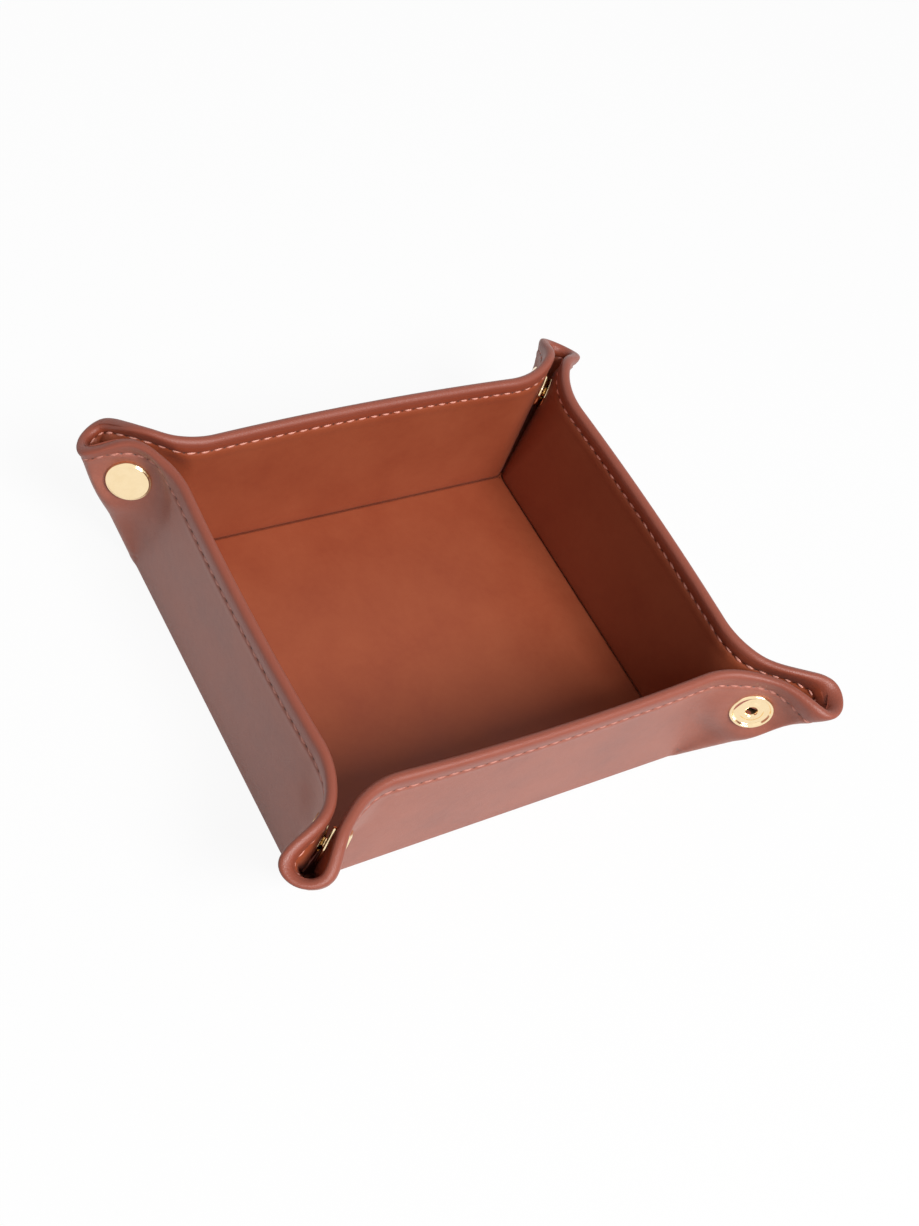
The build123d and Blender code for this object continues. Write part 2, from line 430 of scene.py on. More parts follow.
def applyAll(piece):
    onlySelect(piece)
    for modifier in list(piece.modifiers):
        bpy.ops.object.modifier_apply(modifier=modifier.name)


# The hole that a stud's post goes through, hidden by its discs
def punch(piece, hole):
    centre, axis = hole
    bpy.ops.object.mode_set(mode="EDIT")
    bpy.ops.mesh.select_all(action="DESELECT")
    bpy.ops.object.mode_set(mode="OBJECT")
    for polygon in piece.data.polygons:
        away = polygon.center - centre
        polygon.select = (away - axis * away.dot(axis)).length < snap["hole"]
    bpy.ops.object.mode_set(mode="EDIT")
    bpy.ops.mesh.delete(type="FACE")
    bpy.ops.object.mode_set(mode="OBJECT")


# A sheet of leather: a grid whose points are moved onto the form, then given its thickness
def leatherGrid(name, places, thickness, hole=None):
    columns, rows = len(places), len(places[0])
    bpy.ops.mesh.primitive_grid_add(x_subdivisions=columns - 1, y_subdivisions=rows - 1, size=2)
    piece = bpy.context.object
    piece.name = piece.data.name = name
    cells = []
    for vertex in piece.data.vertices:
        column = round((vertex.co.x + 1) / 2 * (columns - 1))
        row = round((vertex.co.y + 1) / 2 * (rows - 1))
        cells.append(places[column][row])
    for vertex, cell in zip(piece.data.vertices, cells):
        vertex.co = cell[0]
    layer = piece.data.uv_layers[0]
    layer.name = "rimMap"
    for loop in piece.data.loops:
        layer.data[loop.index].uv = (cells[loop.vertex_index][1], cells[loop.vertex_index][2] / mm)
    if hole:
        punch(piece, hole)
    solid = piece.modifiers.new("thickness", "SOLIDIFY")
    solid.thickness = thickness
    solid.offset = -1
    applyAll(piece)
    bpy.ops.object.shade_smooth_by_angle(angle=mesh["smoothAngle"])
    return piece


def gridPlaces(quarter, rulings, rows):
    places = []
    for sign, ruling in rulings:
        column = []
        for row in rows:
            point, distance = rowPoint(ruling, row)
            column.append((placeIn(quarter, sign, point), ruling.stitch, distance))
        places.append(column)
    return places


def wallRulings(halfLength):
    half = [ruling for ruling in rulingsOf[halfLength][0] if ruling.part in ("middle", "bend")]
    return [(-1, ruling) for ruling in reversed(half[1:])] + [(1, ruling) for ruling in half]


def earRulings(halfLength, sign):
    stations = rulingsOf[halfLength][0]
    first = max(index for index, ruling in enumerate(stations) if ruling.part == "bend")
    ear = [(sign, ruling) for ruling in stations[first:]]
    return ear if sign > 0 else ear[::-1]


# The foot of each ear is a heel that stays on its wall. The ear starts on top of it, and has a tongue
# that goes down hidden inside it
heel = {
    "top": 4.5 * mm,
    "liningStep": 4 * mm,
    "tongueDepth": 0.3 * mm,
    "outerTongue": (0.8, 2.0, 3.2, 4.2),
    "liningTongue": (4.2, 3.6, 3.0),
}


def heelRows(kind):
    if kind == "outer":
        rows = [row for row in outerRows() if row[0] == "foot"]
        for step in range(1, mesh["heelRows"] + 1):
            rows.append(("foot", 0.0, mix(crease["outerRadius"], heel["top"], step / mesh["heelRows"])))
        return rows
    rows = [("foot", tray["thickness"], heel["top"]), ("foot", tray["thickness"], heel["liningStep"])]
    return rows + [row for row in liningRows() if row[0] == "foot"]


def fromHeel(row):
    return (row[0], heel["top"], row[2]) if row[0] in ("face", "innerFace") else row


def earRows(kind):
    if kind == "outer":
        rows = [("foot", heel["tongueDepth"], height * mm) for height in heel["outerTongue"]]
        rows.append(("foot", 0.0, heel["top"]))
        return rows + [fromHeel(row) for row in outerRows() if row[0] != "foot"]
    rows = [fromHeel(row) for row in liningRows() if row[0] != "foot"]
    rows.append(("foot", tray["thickness"], heel["top"]))
    depth = tray["thickness"] - heel["tongueDepth"]
    return rows + [("foot", depth, height * mm) for height in heel["liningTongue"]]


def joined(name, pieces):
    onlySelect(*pieces)
    bpy.ops.object.join()
    piece = bpy.context.object
    piece.name = piece.data.name = name
    return piece


leatherDepth = {"outer": 1.2 * mm, "lining": 0.6 * mm}
nodeEnding = {"outer": "outer_leather", "lining": "lining"}


def wallLeather(quarter, kind):
    wall = walls[quarter]
    halfLength = halfSizes(quarter)[0]
    rows = outerRows() if kind == "outer" else liningRows()
    grids = [leatherGrid("wallPart", gridPlaces(quarter, wallRulings(halfLength), rows), leatherDepth[kind])]
    for sign in (-1, 1):
        places = gridPlaces(quarter, earRulings(halfLength, sign), heelRows(kind))
        grids.append(leatherGrid("heelPart", places, leatherDepth[kind]))
    piece = joined(wall + "Wall" + kind.capitalize(), grids)
    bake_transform(piece)
    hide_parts(wall + "_wall_" + nodeEnding[kind])
    return piece


def earBlend(piece, quarter):
    halfLength = halfSizes(quarter)[0]
    split = Ruling(halfLength, "bend", 1)
    low, high = split.at(tray["thickness"] / 2, root["height"]), split.at(tray["thickness"] / 2, split.top)
    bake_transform(piece)


def neighbour(quarter, sign):
    return walls[(quarter + sign) % 4]


# A stud's place in the middle between the two halves of a corner, and the way its disc faces
def snapPlace(quarter, sign):
    along, out = onDiagonal(halfSizes(quarter)[0], snap["reach"], 0)
    corner = cornerOf(quarter, sign)
    outwards = Vector((-sign, -1, sqrt(2) * sin(sign * radians(corner["tilt"])))).normalized()
    turn = Matrix.Rotation(quarter * pi / 2 + radians(corner["turn"]), 3, "Z")
    return placeIn(quarter, sign, Vector((along, out, snap["height"]))), turn @ outwards


def earLeather(quarter, sign, kind):
    wall, other = walls[quarter], neighbour(quarter, sign)
    places = gridPlaces(quarter, earRulings(halfSizes(quarter)[0], sign), earRows(kind))
    hole = snapPlace(quarter, sign) if sign > 0 else None
    name = wall + "Ear" + other.capitalize() + kind.capitalize()
    piece = leatherGrid(name, places, leatherDepth[kind], hole)
    body = wall + "_ear_by_" + other
    earBlend(piece, quarter)
    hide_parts(body + "_" + nodeEnding[kind])
    return piece


# The floor: its lining inside and its leather underneath
floorSheets = {"columns": 90, "rows": 76, "liningInset": 3.5 * mm, "liningDepth": 0.38 * mm}
betweenStitches = 0.25


def floorSheet(name, height, inset, thickness, upwards):
    columns, rows = floorSheets["columns"], floorSheets["rows"]
    spanX, spanY = tray["length"] / 2 - inset, tray["width"] / 2 - inset
    places = []
    for column in range(columns + 1):
        across = mix(-spanX, spanX, column / columns)
        across = across if upwards else -across
        line = [Vector((across, mix(-spanY, spanY, row / rows), height)) for row in range(rows + 1)]
        places.append([(point, betweenStitches, farBelow) for point in line])
    return leatherGrid(name, places, thickness)


def floorLeather():
    inset, depth = floorSheets["liningInset"], floorSheets["liningDepth"]
    lining = floorSheet("floorLining", tray["thickness"], inset, depth, True)
    outer = floorSheet("floorOuter", 0.0, crease["underside"], leatherDepth["outer"], False)
    for piece, kind in ((lining, "lining"), (outer, "outer")):
        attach(piece, "base")
        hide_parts("base_" + nodeEnding[kind])
    return {"lining": [lining], "outer": [outer]}


# One stitch: a short thread, flattened, with its ends turned down into the leather
thread = {
    "length": 2.6 * mm,
    "width": 0.74 * mm,
    "height": 0.5 * mm,
    "slant": radians(12),
    "arch": 0.18 * mm,
    "belly": 0.25,
    "lift": 0.08 * mm,    # above the bottom of the groove
    "segments": 10,
    "rings": 6,
}


def oneStitch():
    bpy.ops.mesh.primitive_uv_sphere_add(segments=thread["segments"], ring_count=thread["rings"], radius=0.5)
    stitch = bpy.context.object
    bpy.ops.object.mode_set(mode="EDIT")
    bpy.ops.mesh.select_all(action="SELECT")
    bpy.ops.transform.rotate(value=pi / 2, orient_axis="Y", center_override=(0, 0, 0))
    bpy.ops.transform.resize(value=(thread["length"], thread["width"], thread["height"]))
    bpy.ops.object.mode_set(mode="OBJECT")
    for vertex in stitch.data.vertices:
        share = vertex.co.x / (thread["length"] / 2)
        vertex.co.z -= thread["arch"] * share * share
        vertex.co.y *= 1 + thread["belly"] * (1 - share * share)
    bpy.ops.object.shade_smooth()
    return stitch


def stationAt(stations, stitch):
    for first, second in zip(stations, stations[1:]):
        if second.stitch >= stitch:
            return first, second, (stitch - first.stitch) / (second.stitch - first.stitch)
    return stations[-2], stations[-1], 1.0


# Where a stitch lies, and which way it runs, on the inner or the outer face
def stitchFrame(quarter, sign, stations, number, inside):
    first, second, share = stationAt(stations, number + 0.5)
    line = edge["line"] if inside else edge["outerLine"]
    depth = tray["thickness"] + relief(line, 0.5, line) if inside else -relief(line, 0.5, line)
    deeper = depth + (-0.5 if inside else 0.5) * mm
    here = placeIn(quarter, sign, first.below(depth, line).lerp(second.below(depth, line), share))
    ahead = placeIn(quarter, sign, second.below(depth, line))
    behind = placeIn(quarter, sign, first.below(depth, line))
    inner = placeIn(quarter, sign, first.below(deeper, line).lerp(second.below(deeper, line), share))
    along = (ahead - behind).normalized()
    normal = (here - inner).normalized()
    side = normal.cross(along).normalized()
    slant = thread["slant"] * (1 if inside else -1) * sign
    run = along * cos(slant) + side * sin(slant)
    side = normal.cross(run)
    turn = Matrix((run, side, normal)).transposed().to_4x4()
    return Matrix.Translation(here + normal * thread["lift"]) @ turn


def stitchRow(name, template, frames):
    copies = []
    for matrix in frames:
        copy = template.copy()
        copy.data = template.data.copy()
        bpy.context.collection.objects.link(copy)
        copy.matrix_world = matrix
        copies.append(copy)
    onlySelect(*copies)
    bpy.ops.object.transform_apply(location=True, rotation=True, scale=True)
    return joined(name, copies)


def stitching(template):
    rows = {"inside": [], "outside": []}
    for quarter, wall in enumerate(walls):
        stations, count = rulingsOf[halfSizes(quarter)[0]]
        split = max(ruling.stitch for ruling in stations if ruling.part == "bend")
        onWall = [number for number in range(count) if number + 0.5 < split]
        onEar = [number for number in range(count) if number + 0.5 >= split]
        for face in rows:
            inside = face == "inside"
            ends = [(sign, number) for sign in (-1, 1) for number in onWall]
            frames = [stitchFrame(quarter, sign, stations, number, inside) for sign, number in ends]
            piece = stitchRow(wall + "WallStitches" + face.capitalize(), template, frames)
            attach(piece, wall + "_wall")
            rows[face].append(piece)
            for sign in (-1, 1):
                other = neighbour(quarter, sign)
                frames = [stitchFrame(quarter, sign, stations, number, inside) for number in onEar]
                name = wall + "Ear" + other.capitalize() + "Stitches" + face.capitalize()
                piece = stitchRow(name, template, frames)
                earBlend(piece, quarter)
                rows[face].append(piece)
    return rows


# The press studs, turned about their own axis: radius and height of each corner of the outline, in mm.
# The outer discs press a little into the leather, and the inner ones stand in front of the lining
press, clear = 0.05, 0.25
seat, inset = studFace / mm - press, liningFace / mm + clear
snapOutlines = {
    "cap": [(0, seat + 1.5), (5.5, seat + 1.46), (5.72, seat + 1.25), (6.05, seat + 1.15), (6.25, seat + 0.8),
            (6.25, seat), (1.25, seat), (1.25, inset - 0.35), (1.8, inset - 0.35), (1.8, inset - 0.5),
            (0, inset - 0.5)],
    "socket": [(1.25, inset), (4.8, inset), (5.1, inset - 0.3), (5.1, 0.45), (4.8, 0.15), (3.2, 0.15),
               (2.3, 0.3), (2.3, inset - 0.35), (1.25, inset - 0.35)],
    "stud": [(1.5, inset), (5.0, inset), (5.0, inset - 0.35), (2.0, 0.3), (1.65, 0.15), (1.65, -0.2),
             (1.9, -0.4), (1.9, -0.65), (1.55, -1.0), (0, -1.0), (0, -0.65), (1.15, -0.65),
             (1.15, inset - 0.6), (1.5, inset - 0.6)],
    "post_back": [(1.45, inset - 0.35), (1.7, inset - 0.35), (1.7, seat), (6.25, seat), (6.25, seat + 0.6),
                  (5.95, seat + 1.0), (5.4, seat + 1.0), (5.0, seat + 0.3), (3.5, seat + 0.4),
                  (2.9, seat + 0.8), (2.3, seat + 0.9), (1.8, seat + 0.65), (1.45, seat + 0.1)],
}


def turnedPiece(name, outlinePoints):
    bpy.ops.mesh.primitive_circle_add(vertices=len(outlinePoints), radius=1)
    piece = bpy.context.object
    piece.name = piece.data.name = name
    for vertex, (radius, height) in zip(piece.data.vertices, outlinePoints):
        vertex.co = (radius * mm, 0, height * mm)
    bpy.ops.object.mode_set(mode="EDIT")
    bpy.ops.mesh.select_all(action="SELECT")
    bpy.ops.mesh.spin(steps=snap["steps"], angle=2 * pi, center=(0, 0, 0), axis=(0, 0, 1))
    bpy.ops.mesh.select_all(action="SELECT")
    bpy.ops.mesh.remove_doubles(threshold=snap["weld"])
    bpy.ops.mesh.normals_make_consistent(inside=False)
    bpy.ops.object.mode_set(mode="OBJECT")
    soft = piece.modifiers.new("soft edges", "BEVEL")
    soft.width, soft.segments, soft.limit_method = snap["bevel"], 3, "ANGLE"
    soft.angle_limit = radians(20)
    applyAll(piece)
    bpy.ops.object.shade_smooth_by_angle(angle=radians(35))
    return piece


def pressStuds():
    pieces = []
    for quarter, wall in enumerate(walls):
        for sign, kinds in ((1, ("stud", "post_back")), (-1, ("socket", "cap"))):
            centre, outwards = snapPlace(quarter, sign)
            turn = outwards.to_track_quat("Z", "Y").to_matrix().to_4x4()
            for kind in kinds:
                piece = turnedPiece(wall + "Snap" + kind.title().replace("_", ""), snapOutlines[kind])
                piece.matrix_world = Matrix.Translation(centre) @ turn
                onlySelect(piece)
                bpy.ops.object.transform_apply(location=True, rotation=True, scale=True)
                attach(piece, wall + "_ear_by_" + neighbour(quarter, sign))
                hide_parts(wall + "_snap_" + kind)
                pieces.append(piece)
    return pieces


# Node groups
def newGroup(name, inputs, outputs):
    group = bpy.data.node_groups.new(name, "ShaderNodeTree")
    for label, kind, value in inputs:
        socket = group.interface.new_socket(name=label, in_out="INPUT", socket_type=kind)
        if value is not None:
            socket.default_value = value
    for label, kind in outputs:
        group.interface.new_socket(name=label, in_out="OUTPUT", socket_type=kind)
    return group, group.nodes.new("NodeGroupInput"), group.nodes.new("NodeGroupOutput")


def mathNode(tree, operation, first, second=None, clamp=False):
    node = tree.nodes.new("ShaderNodeMath")
    node.operation = operation
    node.use_clamp = clamp
    for socket, value in zip(node.inputs, (first, second)):
        if value is None:
            continue
        if isinstance(value, (int, float)):
            socket.default_value = value
        else:
            tree.links.new(value, socket)
    return node.outputs[0]


def noiseNode(tree, vector, scale, detail=3.0):
    node = tree.nodes.new("ShaderNodeTexNoise")
    node.inputs["Detail"].default_value = detail
    node.inputs["Roughness"].default_value = 0.55
    tree.links.new(vector, node.inputs["Vector"])
    if isinstance(scale, (int, float)):
        node.inputs["Scale"].default_value = scale
    else:
        tree.links.new(scale, node.inputs["Scale"])
    return node.outputs["Fac"]


# Fine leather grain: pebbles with valleys between them, broken up by noise
grainLook = {"wobbleScale": 0.6, "steepness": 3.0, "roundness": 0.5, "pebble": 0.6, "wobble": 0.8}


def grainGroup():
    group, inside, outside = newGroup("leather grain", [
        ("Vector", "NodeSocketVector", None), ("Scale", "NodeSocketFloat", 1500.0),
        ("Depth", "NodeSocketFloat", 1.0)], [("Height", "NodeSocketFloat"), ("Valleys", "NodeSocketFloat")])
    cells = group.nodes.new("ShaderNodeTexVoronoi")
    cells.feature = "DISTANCE_TO_EDGE"
    vector, scale = inside.outputs["Vector"], inside.outputs["Scale"]
    wobble = noiseNode(group, vector, mathNode(group, "MULTIPLY", scale, grainLook["wobbleScale"]))
    group.links.new(vector, cells.inputs["Vector"])
    group.links.new(scale, cells.inputs["Scale"])
    valley = mathNode(group, "MULTIPLY", cells.outputs["Distance"], grainLook["steepness"], True)
    pebble = mathNode(group, "POWER", valley, grainLook["roundness"])
    pebble = mathNode(group, "MULTIPLY", pebble, grainLook["pebble"])
    wobble = mathNode(group, "MULTIPLY", wobble, grainLook["wobble"])
    height = mathNode(group, "ADD", pebble, wobble)
    group.links.new(mathNode(group, "MULTIPLY", height, inside.outputs["Depth"]), outside.inputs["Height"])
    group.links.new(mathNode(group, "SUBTRACT", 1.0, valley), outside.inputs["Valleys"])
    return group


# The stitch line on the leather: painted shade darkens the groove, and a needle hole between stitches is
# painted as a dark spot for the shade inside it; a mask also marks the band above the line
lineLook = {"grooveShadeFade": 4.0, "holeFade": 5.0, "rimShadeFade": 1.6}


def stitchLineGroup():
    group, inside, outside = newGroup("stitch line", [
        ("Rim Map", "NodeSocketVector", None), ("Line", "NodeSocketFloat", edge["line"] / mm)],
        [("Groove", "NodeSocketFloat"), ("Holes", "NodeSocketFloat"), ("Rim", "NodeSocketFloat")])
    split = group.nodes.new("ShaderNodeSeparateXYZ")
    group.links.new(inside.outputs["Rim Map"], split.inputs[0])
    away = mathNode(group, "SUBTRACT", split.outputs["Y"], inside.outputs["Line"])
    away = mathNode(group, "MULTIPLY", away, away)
    # Painted shade: the mask that darkens the groove along the stitch line
    groove = mathNode(group, "SUBTRACT", 1.0, mathNode(group, "MULTIPLY", away, lineLook["grooveShadeFade"]), True)
    group.links.new(groove, outside.inputs["Groove"])
    wave = mathNode(group, "ADD", split.outputs["X"], 0.5)
    wave = mathNode(group, "SUBTRACT", mathNode(group, "FRACT", wave), 0.5)
    wave = mathNode(group, "MULTIPLY", wave, edge["pitch"] / mm)
    # Painted shade: a dark spot at each needle hole between stitches, for the shade inside the hole
    spot = mathNode(group, "ADD", mathNode(group, "MULTIPLY", wave, wave), away)
    hole = mathNode(group, "SUBTRACT", 1.0, mathNode(group, "MULTIPLY", spot, lineLook["holeFade"]), True)
    group.links.new(hole, outside.inputs["Holes"])
    # The band above the stitch line, which the leathers paint darker and redder; on the outer leather this is
    # painted shade
    rimShadeMask = mathNode(group, "SUBTRACT", inside.outputs["Line"], split.outputs["Y"])
    rimShadeMask = mathNode(group, "MULTIPLY", rimShadeMask, lineLook["rimShadeFade"], True)
    group.links.new(rimShadeMask, outside.inputs["Rim"])
    return group


def newMaterial(name):
    material = bpy.data.materials.new(name)
    material.use_nodes = True
    tree = material.node_tree
    return material, tree, tree.nodes["Principled BSDF"]


def colourRamp(tree, fac, stops):
    node = tree.nodes.new("ShaderNodeValToRGB")
    elements = node.color_ramp.elements
    while len(elements) < len(stops):
        elements.new(0.5)
    for element, (place, colour) in zip(elements, stops):
        element.position, element.color = place, (*colour, 1)
    tree.links.new(fac, node.inputs["Fac"])
    return node.outputs["Color"]


def mixColour(tree, fac, first, second):
    node = tree.nodes.new("ShaderNodeMix")
    node.data_type = "RGBA"
    for socket, value in ((node.inputs[0], fac), (node.inputs[6], first), (node.inputs[7], second)):
        if isinstance(value, (int, float)):
            socket.default_value = value
        elif isinstance(value, tuple):
            socket.default_value = (*value, 1)
        else:
            tree.links.new(value, socket)
    return node.outputs[2]


def fromScreen(red, green, blue):
    values = [value / 255 for value in (red, green, blue)]
    return tuple(v / 12.92 if v <= 0.04045 else ((v + 0.055) / 1.055) ** 2.4 for v in values)


# A colour laid over another where a mask shows
def layer(tree, colour, mask, share, over):
    return mixColour(tree, mathNode(tree, "MULTIPLY", mask, share), colour, over)


def addBump(tree, shader, height, strength, distance):
    node = tree.nodes.new("ShaderNodeBump")
    node.inputs["Strength"].default_value = strength
    node.inputs["Distance"].default_value = distance
    tree.links.new(height, node.inputs["Height"])
    tree.links.new(node.outputs["Normal"], shader.inputs["Normal"])


# The outer leather's base is paler and pinker than the lining's: painted sheen. Its rim colour paints the
# band above the stitches darker: painted shade
outerFinish = {
    "name": "outer leather", "base": fromScreen(150, 84, 66), "dark": fromScreen(136, 72, 55),
    "light": fromScreen(160, 94, 76), "rim": fromScreen(134, 60, 39), "grain": 1500.0, "depth": 1.0,
    "bump": 0.26, "roughness": 0.46, "specular": 0.5, "sheen": 0.04, "line": edge["outerLine"] / mm,
}
# The lining's rim colour paints the band above its stitch line a little darker and redder
liningFinish = {
    "name": "lining leather", "base": fromScreen(147, 70, 40), "dark": fromScreen(140, 63, 35),
    "light": fromScreen(153, 76, 45), "rim": fromScreen(140, 62, 39), "grain": 2100.0, "depth": 0.6,
    "bump": 0.1, "roughness": 0.54, "specular": 0.42, "sheen": 0.04, "line": edge["line"] / mm,
}

# What both leathers share: clouds of colour, how far each mask shows, and the relief. The groove and hole
# masks paint shade, and the rim mask paints the band above the stitches darker
leatherLook = {
    "cloudScale": 55.0, "fineScale": 480.0, "cloudShare": 0.75, "fineShare": 0.25,
    "rim": 0.8, "valleys": 0.22, "groove": 0.35, "holes": 0.8, "holeShadeColour": fromScreen(40, 18, 12),
    "roughnessSpread": 0.16, "bumpHeight": 0.25 * mm, "cloudRelief": 1.5, "holeRelief": 1.5,
}


def leatherMaterial(finish, grain, stitchLine):
    material, tree, shader = newMaterial(finish["name"])
    coordinate = tree.nodes.new("ShaderNodeTexCoord")
    place = coordinate.outputs["Object"]
    rimMap = tree.nodes.new("ShaderNodeUVMap")
    rimMap.uv_map = "rimMap"
    patch = tree.nodes.new("ShaderNodeGroup")
    patch.node_tree = grain
    tree.links.new(place, patch.inputs["Vector"])
    patch.inputs["Scale"].default_value = finish["grain"]
    patch.inputs["Depth"].default_value = finish["depth"]
    line = tree.nodes.new("ShaderNodeGroup")
    line.node_tree = stitchLine
    tree.links.new(rimMap.outputs["UV"], line.inputs["Rim Map"])
    line.inputs["Line"].default_value = finish["line"]
    look, holes = leatherLook, line.outputs["Holes"]
    cloud = noiseNode(tree, place, look["cloudScale"], 4.0)
    fine = noiseNode(tree, place, look["fineScale"], 3.0)
    tone = mathNode(tree, "MULTIPLY", cloud, look["cloudShare"])
    tone = mathNode(tree, "ADD", tone, mathNode(tree, "MULTIPLY", fine, look["fineShare"]))
    colour = colourRamp(tree, tone, [(0.32, finish["dark"]), (0.5, finish["base"]), (0.7, finish["light"])])
    # The band above the stitch line is painted darker and redder: painted shade on the outer leather
    colour = layer(tree, colour, line.outputs["Rim"], look["rim"], finish["rim"])
    colour = layer(tree, colour, patch.outputs["Valleys"], look["valleys"], finish["dark"])
    # Painted shade: the groove along the stitch line is painted darker
    colour = layer(tree, colour, line.outputs["Groove"], look["groove"], finish["dark"])
    # Painted shade: the needle holes are painted near black
    colour = layer(tree, colour, holes, look["holes"], look["holeShadeColour"])
    tree.links.new(colour, shader.inputs["Base Color"])
    rough = mathNode(tree, "MULTIPLY", cloud, look["roughnessSpread"])
    rough = mathNode(tree, "ADD", rough, finish["roughness"] - look["roughnessSpread"] / 2)
    tree.links.new(rough, shader.inputs["Roughness"])
    clouds = mathNode(tree, "MULTIPLY", cloud, look["cloudRelief"])
    height = mathNode(tree, "ADD", patch.outputs["Height"], clouds)
    height = mathNode(tree, "SUBTRACT", height, mathNode(tree, "MULTIPLY", holes, look["holeRelief"]))
    addBump(tree, shader, height, finish["bump"], look["bumpHeight"])
    shader.inputs["Specular IOR Level"].default_value = finish["specular"]
    shader.inputs["Sheen Weight"].default_value = finish["sheen"]
    return material


threadFinishes = {
    "inside": {"name": "pink thread", "base": fromScreen(218, 144, 126), "light": fromScreen(240, 176, 158)},
    "outside": {"name": "rose thread", "base": fromScreen(172, 108, 94), "light": fromScreen(202, 136, 120)},
}
threadLook = {"scale": 2600.0, "bump": 0.4, "bumpHeight": 0.08 * mm, "roughness": 0.6}


def threadMaterial(finish):
    material, tree, shader = newMaterial(finish["name"])
    place = tree.nodes.new("ShaderNodeTexCoord").outputs["Object"]
    fibre = noiseNode(tree, place, threadLook["scale"], 2.0)
    stops = [(0.35, finish["base"]), (0.65, finish["light"])]
    tree.links.new(colourRamp(tree, fibre, stops), shader.inputs["Base Color"])
    addBump(tree, shader, fibre, threadLook["bump"], threadLook["bumpHeight"])
    shader.inputs["Roughness"].default_value = threadLook["roughness"]
    return material


brassFinish = {
    "name": "pale gold brass", "gold": (0.97, 0.77, 0.48), "deep": (0.94, 0.73, 0.44), "cloudScale": 350.0,
    "roughness": 0.08, "roughnessSpread": 0.06, "scratchScale": 3000.0, "bump": 0.05, "bumpHeight": 0.03 * mm,
}


def brassMaterial(finish):
    material, tree, shader = newMaterial(finish["name"])
    place = tree.nodes.new("ShaderNodeTexCoord").outputs["Object"]
    cloud = noiseNode(tree, place, finish["cloudScale"], 4.0)
    scratch = noiseNode(tree, place, finish["scratchScale"], 2.0)
    stops = [(0.3, finish["deep"]), (0.6, finish["gold"])]
    tree.links.new(colourRamp(tree, cloud, stops), shader.inputs["Base Color"])
    rough = mathNode(tree, "MULTIPLY", cloud, finish["roughnessSpread"])
    tree.links.new(mathNode(tree, "ADD", rough, finish["roughness"]), shader.inputs["Roughness"])
    addBump(tree, shader, scratch, finish["bump"], finish["bumpHeight"])
    shader.inputs["Metallic"].default_value = 1.0
    return material


# Two plain finishes: painted shade for the inside of the tubular posts, a near-black brown for the shade deep
# in the bore, and the card in the walls
boreShadeFinish = {
    "name": "dull post", "dark": (0.06, 0.035, 0.015), "light": (0.13, 0.08, 0.035),
    "scale": 1200.0, "detail": 3.0, "roughness": 0.6,
}
cardFinish = {
    "name": "pressed card", "dark": (0.42, 0.35, 0.26), "light": (0.6, 0.52, 0.4),
    "scale": 900.0, "detail": 4.0, "roughness": 0.85,
}


def plainMaterial(finish):
    material, tree, shader = newMaterial(finish["name"])
    place = tree.nodes.new("ShaderNodeTexCoord").outputs["Object"]
    cloud = noiseNode(tree, place, finish["scale"], finish["detail"])
    stops = [(0.3, finish["dark"]), (0.7, finish["light"])]
    tree.links.new(colourRamp(tree, cloud, stops), shader.inputs["Base Color"])
    shader.inputs["Roughness"].default_value = finish["roughness"]
    return material


# Painted shade: faces inside a post's bore get the near-black finish
def paintBoreShade(pieces, material):
    for piece in pieces:
        quarter = [number for number, wall in enumerate(walls) if piece.name.startswith(wall)][0]
        centre, axis = snapPlace(quarter, 1)
        piece.data.materials.append(material)
        for polygon in piece.data.polygons:
            away = polygon.center - centre
            deep = away.dot(axis) < studFace
            polygon.material_index = int(deep and (away - axis * away.dot(axis)).length < snap["bore"])


def dress(pieces, material):
    for piece in pieces:
        piece.data.materials.clear()
        piece.data.materials.append(material)


# An estimate of the photograph's camera, from the tray's edges in its 919 by 1226 frame. The image centre
# is held near the middle at column axisX, so that the tray stays in the frame in other views, though the
# edges would fit better with it further left
photo = {
    "width": 919, "height": 1226, "focal": 1678.15, "axisX": 399.7,
    "azimuth": -0.87329, "elevation": 0.86295, "roll": 0.479285,
    "distance": 493.8804 * mm, "target": (4.5591 * mm, 14.6991 * mm, 0), "sensor": 36,
}


def addCamera():
    azimuth, elevation, roll = photo["azimuth"], photo["elevation"], photo["roll"]
    ahead = Vector((-sin(azimuth) * cos(elevation), cos(azimuth) * cos(elevation), -sin(elevation)))
    level = Vector((cos(azimuth), sin(azimuth), 0))
    up = level.cross(ahead)
    right = level * cos(roll) + up * sin(roll)
    top = up * cos(roll) - level * sin(roll)
    data = bpy.data.cameras.new("camera")
    data.sensor_width = photo["sensor"]
    data.lens = photo["focal"] * data.sensor_width / photo["height"]
    data.shift_x = (photo["width"] / 2 - photo["axisX"]) / photo["height"]
    camera = bpy.data.objects.new("camera", data)
    bpy.context.collection.objects.link(camera)
    turn = Matrix((right, top, -ahead)).transposed().to_4x4()
    camera.matrix_world = Matrix.Translation(Vector(photo["target"]) - ahead * photo["distance"]) @ turn
    bpy.context.scene.camera = camera


def whiteRays(tree):
    rays = tree.nodes.new("ShaderNodeLightPath")
    seen = mathNode(tree, "ADD", rays.outputs["Is Camera Ray"], rays.outputs["Is Glossy Ray"], True)
    return mathNode(tree, "ADD", seen, rays.outputs["Is Transmission Ray"], True)


studio = {"world": 0.25, "floorSize": 6, "floorAlbedo": 0.75, "floorRoughness": 0.9, "floorGlow": 0.93}


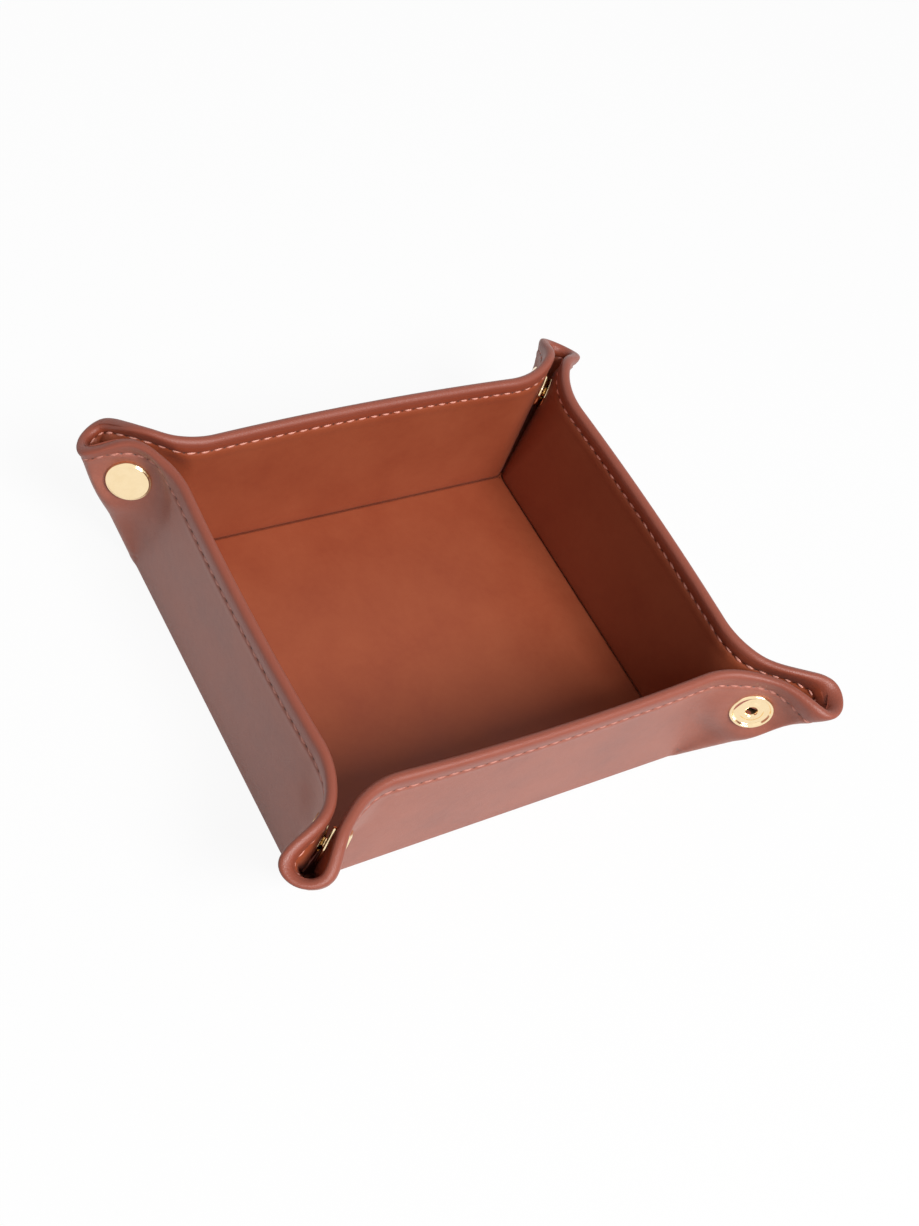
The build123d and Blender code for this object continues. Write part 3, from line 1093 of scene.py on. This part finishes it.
def addFloor():
    bpy.ops.mesh.primitive_plane_add(size=studio["floorSize"], location=(0, 0, 0))
    plane = bpy.context.object
    plane.name = "studioFloor"
    material, tree, shader = newMaterial("studio floor")
    shader.inputs["Base Color"].default_value = (studio["floorAlbedo"],) * 3 + (1,)
    shader.inputs["Roughness"].default_value = studio["floorRoughness"]
    shader.inputs["Specular IOR Level"].default_value = 0.0
    glow = tree.nodes.new("ShaderNodeEmission")
    glow.inputs["Strength"].default_value = 1.0
    blendNode = tree.nodes.new("ShaderNodeMixShader")
    tree.links.new(mathNode(tree, "MULTIPLY", whiteRays(tree), studio["floorGlow"]), blendNode.inputs[0])
    tree.links.new(shader.outputs[0], blendNode.inputs[1])
    tree.links.new(glow.outputs[0], blendNode.inputs[2])
    tree.links.new(blendNode.outputs[0], tree.nodes["Material Output"].inputs["Surface"])
    dress([plane], material)


def addWorld():
    world = bpy.data.worlds.new("studio")
    bpy.context.scene.world = world
    world.use_nodes = True
    tree = world.node_tree
    background = tree.nodes["Background"]
    background.inputs["Color"].default_value = (1, 1, 1, 1)
    lit = mathNode(tree, "MULTIPLY", whiteRays(tree), 1 - studio["world"])
    tree.links.new(mathNode(tree, "ADD", lit, studio["world"]), background.inputs["Strength"])


lamps = [
    {"name": "key", "place": (0.09, -1.05, 1.26), "size": 0.75, "power": 32.0},
    {"name": "fill", "place": (-0.9, 0.2, 0.9), "size": 0.9, "power": 0.2},
]


def addLamps():
    for lamp in lamps:
        data = bpy.data.lights.new(lamp["name"], "AREA")
        data.size, data.energy = lamp["size"], lamp["power"]
        light = bpy.data.objects.new(lamp["name"], data)
        bpy.context.collection.objects.link(light)
        light.location = lamp["place"]
        light.rotation_euler = (-Vector(lamp["place"])).to_track_quat("-Z", "Y").to_euler()


leather = floorLeather()
print("floor made")
for quarter in range(4):
    for kind in ("outer", "lining"):
        leather[kind].append(wallLeather(quarter, kind))
        for sign in (-1, 1):
            leather[kind].append(earLeather(quarter, sign, kind))
print("walls and ears made")
template = oneStitch()
threads = stitching(template)
bpy.data.objects.remove(template)
print("stitching made")
studs = pressStuds()
print("press studs made")

grain, stitchLine = grainGroup(), stitchLineGroup()
dress(leather["outer"], leatherMaterial(outerFinish, grain, stitchLine))
dress(leather["lining"], leatherMaterial(liningFinish, grain, stitchLine))
for face in ("inside", "outside"):
    dress(threads[face], threadMaterial(threadFinishes[face]))
dress(studs, brassMaterial(brassFinish))
# Painted shade in the bores of the studs and post backs
paintBoreShade([piece for piece in studs if piece.name.endswith(("Stud", "PostBack"))], plainMaterial(boreShadeFinish))
cards = [node for name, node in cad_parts.items() if "board" in name or "stiffener" in name]
dress(cards, plainMaterial(cardFinish))
print("materials made")

addCamera()
addFloor()
addWorld()
addLamps()
bpy.context.scene.view_settings.view_transform = "Standard"
print("studio made")
